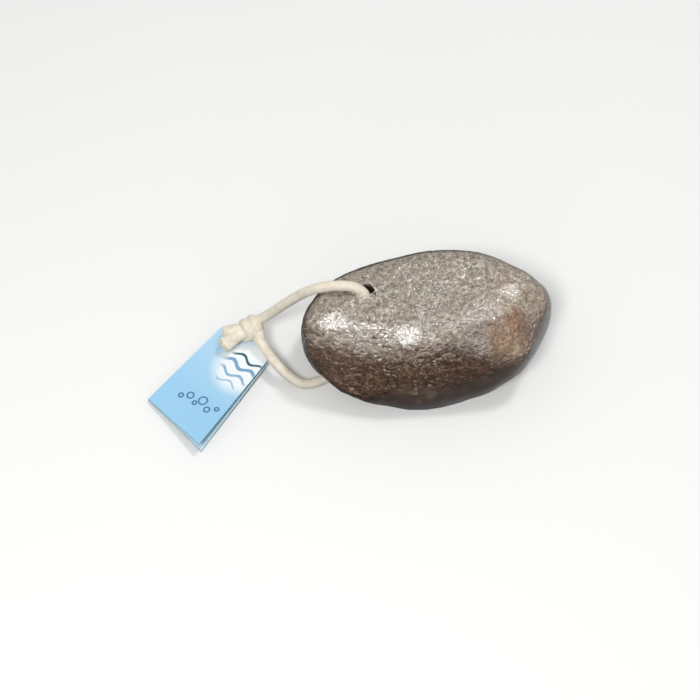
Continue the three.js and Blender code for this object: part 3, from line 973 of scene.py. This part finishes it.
# Pleats drawn in as the film shrank: ends, width and height
PLEATS = [
    ((-16.3, -25.5, 8.0), (-20.5, -27.0, 5.0), 0.7, 0.3),
    ((-16.3, -25.5, 8.0), (-12.5, -27.5, 5.0), 0.7, 0.3),
    ((-16.3, -25.5, 8.0), (-15.0, -23.0, 13.0), 0.6, 0.25),
    ((-38.0, -15.0, 12.0), (-33.0, -20.5, 8.0), 0.6, 0.25),
    ((-41.0, -11.0, 12.5), (-36.0, -17.5, 8.5), 0.5, 0.2),
    ((36.0, -15.0, 18.0), (29.0, -23.0, 10.0), 0.8, 0.25),
    ((41.0, -9.0, 20.0), (36.0, -18.0, 9.0), 0.8, 0.25),
    ((43.0, 14.0, 22.0), (46.5, 4.0, 14.0), 0.7, 0.2),
    ((-44.0, 12.0, 24.0), (-46.5, 2.0, 18.0), 0.6, 0.2),
]


def pleat_height(p):
    """Height of the pleats of the film at a point of the layout."""
    highest = 0
    for start, stop, width, rise in PLEATS:
        a, b = Vector(start), Vector(stop)
        along = max(0, min(1, (p - a).dot(b - a) / (b - a).length_squared))
        off = (p - a.lerp(b, along)).length / (width * 2)
        if off < 1:
            highest = max(highest, rise * (1 - off) * (1 - 0.6 * along))
    return highest


directions, triangles = fine_sphere(FILM_FINENESS)
film_reach = reach(directions, FACES)
stand_off = film_reach - reach(directions, FACES + HOLLOWS)
outer = worn(directions * film_reach[:, None])
normals = square_off(outer, triangles)
moved = []
for point, normal, gap in zip(outer, normals, stand_off):
    p = Vector(point)
    cling = max(0, 1 - gap / CLING_GAP)
    dimple = DIMPLE_DEPTH * noise.fractal(p * 0.42, 1, 2, 2) * cling
    moved.append(point + normal * (pleat_height(p + MIDDLE) - swell(p) - dimple))
outer = np.array(moved)
outer[:, 2] = np.maximum(outer[:, 2], UNDERSIDE - MIDDLE.z)
inner = outer - normals * FILM_THICKNESS
inner[:, 2] = np.maximum(inner[:, 2], UNDERSIDE + FILM_THICKNESS - MIDDLE.z)
count = len(outer)
skins = [in_frame(Vector(p) + MIDDLE) for p in np.vstack((outer, inner))]
both = triangles + [tuple(count + i for i in t[::-1]) for t in triangles]
film = new_piece("clear_shrink_film", skins, both)
take_away(film, bored_rod("film_mouths", FILM_MOUTH_RADIUS, 50, 0.7))
# the light goes through the film to the stone as if it wasn't there
film.visible_shadow = False
film.visible_diffuse = False

# how far the film stands free of the stone, 0 where it clings and 1 where it is wholly
# free, and how taut it is drawn over the worn flats
centred = np.array([tuple(v.co / MM - LAYOUT_SHIFT - MIDDLE) for v in film.data.vertices])
lengths = np.linalg.norm(centred, axis=1)
outwards = centred / lengths[:, None]
free = reach(outwards, FACES) - reach(outwards, FACES + HOLLOWS)
taut = np.zeros(len(centred))
for place, radius, dent in DENTS:
    near = np.linalg.norm(centred + np.array(MIDDLE) - np.array(place), axis=1) / radius
    free += dent * np.maximum(0, 1 - near * near) ** 2
for place, radius, *_ in WORN_FLATS:
    near = np.linalg.norm(centred + np.array(MIDDLE) - np.array(place), axis=1) / radius
    taut = np.maximum(taut, np.clip(1.5 - 1.5 * near, 0, 1))
for name, values in (("standing_free", np.clip(free / FREE_GAP, 0, 1)), ("drawn_taut", taut)):
    share = film.data.attributes.new(name, "FLOAT", "POINT")
    share.data.foreach_set("value", values.astype(np.float32))

# Polyolefin shrink film: glass-clear with a wet, sparkling gloss, beaded where it clings
# to the grains, a little milky where it is drawn taut, smooth and hazy where it is free
shrink, tree = new_material("clear_polyolefin_film")
where = add_node(tree, "TexCoord", output="Object")
free_share = add_node(tree, "Attribute", output="Fac", attribute_name="standing_free")
taut_share = add_node(tree, "Attribute", output="Fac", attribute_name="drawn_taut")
# it beads over the grains, about 0.9 mm apart, and sinks into the pores between
beads = add_node(tree, "TexVoronoi", {
    "Vector": where, "Scale": 1100, "Smoothness": 0.3,
}, output="Distance", feature="SMOOTH_F1")
beads = add_node(tree, "Math", {0: beads, 1: 2.0}, operation="POWER")
cling = add_node(tree, "Math", {0: 1.0, 1: free_share}, operation="SUBTRACT", use_clamp=True)
cling = add_node(tree, "Math", {0: cling, 1: 2.0}, operation="POWER")
relief = add_node(tree, "Math", {0: beads, 1: cling}, operation="MULTIPLY")
film_bump = add_node(tree, "Bump", {"Height": relief, "Strength": 1.0, "Distance": 0.00018}, invert=True)
haze = add_node(tree, "MapRange", {"Value": free_share, "To Min": 0.07, "To Max": 0.3})
milky_share = add_node(tree, "MapRange", {"Value": taut_share, "To Min": 0.08, "To Max": 0.6})
clear = add_node(tree, "BsdfPrincipled", {
    "Base Color": "#ffffff", "Normal": film_bump, "Roughness": haze,
    "Transmission Weight": 1.0, "IOR": 1.49, "Coat Weight": milky_share, "Coat Roughness": 0.3,
})
add_node(tree, "OutputMaterial", {"Surface": clear})
film.data.materials.append(shrink)
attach(film, "root")
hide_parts("shrink_film")


# Torn film lip
# Where the hole was pushed through after shrinking, the film stands up in a
# crumpled ring that hugs the cord in front and folds in a V behind the hole.
LIP_SIDES = 120
LIP_ROWS = 9
CORD_FOOT = Vector((-22.4, 7.9, 39))
# The side of the hole where the cord lies and the lip stands highest
LIP_FRONT = -105
LIP_HUG = 2.1
LIP_SEED = Vector((5, 1, 9))
top_azimuth, top_elevation, top_distance = FACES[0]
top = towards(top_azimuth, top_elevation)
verts, faces = [], []
for row in range(LIP_ROWS):
    out = row / (LIP_ROWS - 1)
    for k in range(LIP_SIDES):
        angle = 2 * math.pi * k / LIP_SIDES
        front = max(0.0, math.cos(angle - math.radians(LIP_FRONT))) ** 0.6
        ahead = Vector((math.cos(angle), math.sin(angle), 0))
        near_cord = CORD_FOOT + ahead * LIP_HUG
        near_hole = HOLE_TOP + ahead * (HOLE_RADIUS - 0.1)
        rim = near_hole.lerp(near_cord, front)
        crumple = noise.fractal(Vector((ahead.x * 3.2, ahead.y * 3.2, out * 1.1)) + LIP_SEED, 1, 2, 3)
        spread = (1.1 + 0.9 * front + 0.7 * crumple) * out
        place = rim + ahead * spread
        p = Vector((place.x, place.y, 0)) - Vector((MIDDLE.x, MIDDLE.y, 0))
        # height of the skin under this place, from the flat top
        skin_z = MIDDLE.z + (top_distance - p.x * top[0] - p.y * top[1]) / top[2]
        rise = (0.3 + 1.2 * front + 0.45 * crumple) * (1 - out) ** 1.3
        verts.append(Vector((place.x, place.y, skin_z - 0.1 + max(0.0, rise) + 0.12 * abs(crumple))))
for row in range(LIP_ROWS - 1):
    for k in range(LIP_SIDES):
        a, b = row * LIP_SIDES + k, row * LIP_SIDES + (k + 1) % LIP_SIDES
        faces.append((a, a + LIP_SIDES, b + LIP_SIDES, b))
lip = new_piece("torn_film_lip", [in_frame(v) for v in verts], faces)
lip.visible_shadow = False

# Stress-whitened film: creased until it turns milky, with glassy folds between
whitened, tree = new_material("stress_whitened_film")
where = add_node(tree, "TexCoord", output="Object")
folds = add_node(tree, "TexNoise", {"Vector": where, "Scale": 900, "Detail": 3, "Distortion": 1.5})
milk = add_node(tree, "MapRange", {"Value": folds, "From Min": 0.4, "From Max": 0.62})
fold_bump = add_node(tree, "Bump", {"Height": folds, "Strength": 1.0, "Distance": 0.0004})
glassy = add_node(tree, "BsdfPrincipled", {
    "Base Color": "#ffffff", "Normal": fold_bump, "Roughness": 0.1,
    "Transmission Weight": 1.0, "IOR": 1.49,
})
milky = add_node(tree, "BsdfPrincipled", {
    "Base Color": "#d8d3c6", "Normal": fold_bump, "Roughness": 0.4, "IOR": 1.49,
})
add_node(tree, "OutputMaterial", {"Surface": add_node(tree, "MixShader", {0: milk, 1: glassy, 2: milky})})
lip.data.materials.append(whitened)
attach(lip, "root")


# Table and studio light
# A plain near-white table. A lamp over the viewer's left shoulder, one behind
# on the right and two low ones in front light it, in a room with dark lower
# walls that are lighter on the right.
table = new_piece("table", [(-3, -3, 0), (3, -3, 0), (3, 3, 0), (-3, 3, 0)], [(0, 1, 2, 3)])
table.location.z = -0.0002
# Matt white laminate: even and pale, with only a dull shine
laminate, tree = new_material("matt_white_laminate")
add_node(tree, "OutputMaterial", {"Surface": add_node(
    tree, "BsdfPrincipled", {"Base Color": "#f7f7f5", "Roughness": 0.7},
)})
table.data.materials.append(laminate)
# a setting matched to the photo, which a real table can't do: the film shows the
# dark lower room in place of the table
table.visible_glossy = False
table.visible_transmission = False
table.visible_diffuse = False

world = bpy.data.worlds.new("room")
world.use_nodes = True
tree = world.node_tree
tree.nodes.clear()
where = add_node(tree, "TexCoord", output="Generated")
climb = add_node(tree, "SeparateXYZ", {"Vector": where}, output="Z")
aside = add_node(tree, "SeparateXYZ", {"Vector": where}, output="X")
lower_walls = add_node(tree, "MapRange", {
    "Value": aside, "From Min": 0.15, "From Max": 0.5, "To Min": 0.06, "To Max": 0.6,
})
walls = add_node(tree, "MapRange", {
    "Value": climb, "From Min": -0.15, "From Max": 0.15, "To Min": lower_walls, "To Max": 0.45,
})
backdrop = add_node(tree, "Background", {"Color": "#ffffff", "Strength": walls})
add_node(tree, "OutputWorld", {"Surface": backdrop})
bpy.context.scene.world = world

# The lamps turn towards the middle of the stone
LIT_POINT = Vector((-0.01, 0, 0.02))
LAMP_DISTANCE = 0.9


def add_lamp(name, azimuth, elevation, size, power):
    """A round lamp that faces the object. Azimuth is counter-clockwise from +X, in degrees."""
    lamp = bpy.data.objects.new(name, bpy.data.lights.new(name, "AREA"))
    lamp.data.shape = "DISK"
    lamp.data.size = size
    lamp.data.energy = power
    outward = Vector(towards(azimuth, elevation))
    lamp.location = LIT_POINT + outward * LAMP_DISTANCE
    lamp.rotation_euler = outward.to_track_quat("Z", "Y").to_euler()
    bpy.context.collection.objects.link(lamp)


add_lamp("front_left_lamp", -124, 56, 0.23, 3.6)
add_lamp("back_right_lamp", 30, 70, 0.15, 2.0)
add_lamp("low_front_lamp", -90, 10, 0.07, 0.22)
add_lamp("low_left_lamp", -114, 15, 0.07, 0.22)

bpy.context.scene.view_settings.view_transform = "Standard"
